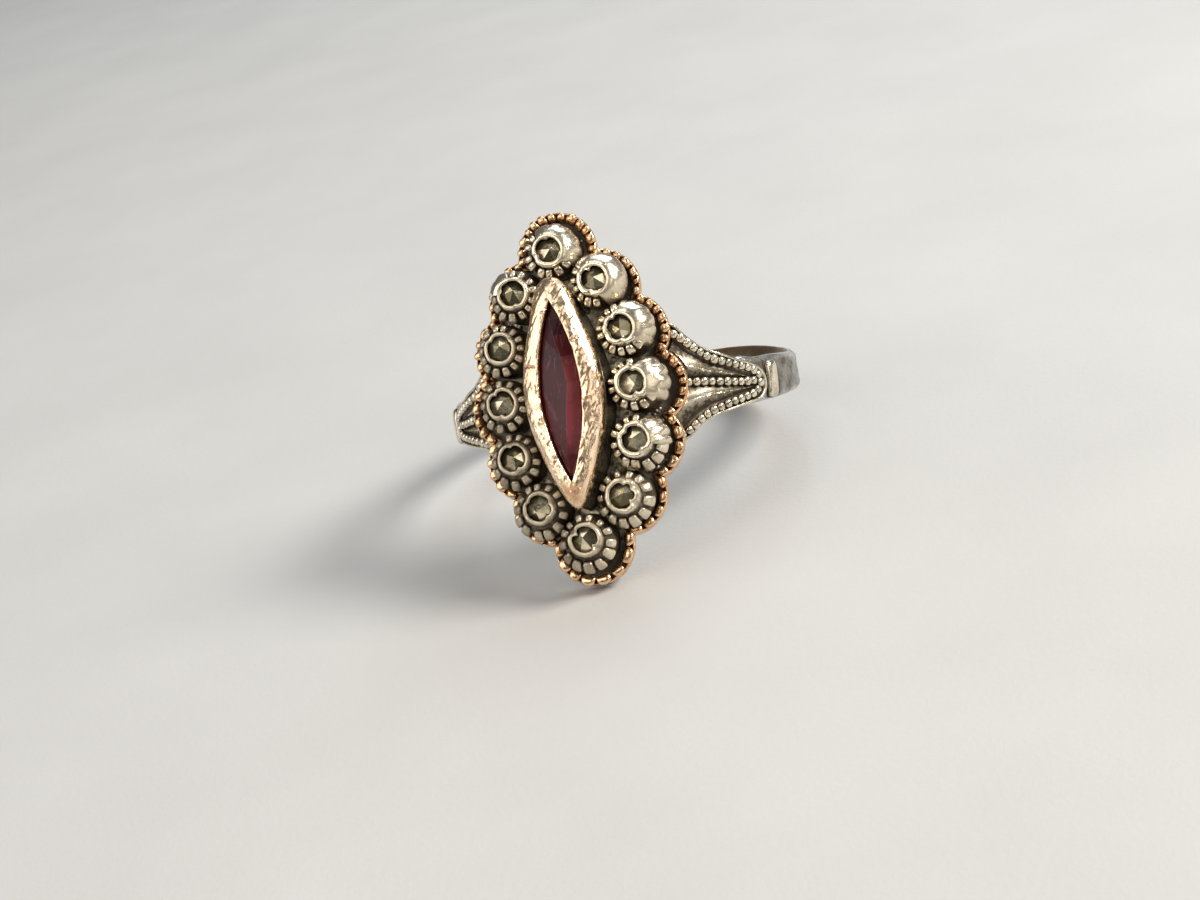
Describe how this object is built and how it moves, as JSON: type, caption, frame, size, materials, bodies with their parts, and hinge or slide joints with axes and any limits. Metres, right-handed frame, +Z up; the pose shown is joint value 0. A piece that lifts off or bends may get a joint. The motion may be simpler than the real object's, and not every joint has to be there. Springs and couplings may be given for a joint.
{
  "type": "marquise cluster ring",
  "caption": "Finger ring with a long scalloped head: a marquise stone in a gold rim, small round stones in cups around it, a beaded gold border, fan shoulders and a plain band.",
  "frame": {"origin": "bottom centre of the bounding box, on the surface that the ring lies on", "axes": "+Z up as the ring lies by itself; -Y is the side that the head faces, and the band lies towards +Y; X runs across the head"},
  "size_m": [0.0204, 0.0255, 0.0177],
  "materials": {
    "silver": "worn silver, polished on the high places and oxidised dark in the recesses",
    "rose_gold": "worn rose gold with brown tarnish in the recesses",
    "amethyst": "dark purple-red faceted stone",
    "marcasite": "faceted olive-grey pyrite, metallic shine"
  },
  "bodies": {
    "root": {"silver_mount": "silver", "gold_border": "rose_gold", "gold_bezel": "rose_gold", "marquise_stone": "amethyst", "marcasite_01": "marcasite", "marcasite_02": "marcasite", "marcasite_03": "marcasite", "marcasite_04": "marcasite", "marcasite_05": "marcasite", "marcasite_06": "marcasite", "marcasite_07": "marcasite", "marcasite_08": "marcasite", "marcasite_09": "marcasite", "marcasite_10": "marcasite", "marcasite_11": "marcasite", "marcasite_12": "marcasite"}
  },
  "joints": []
}
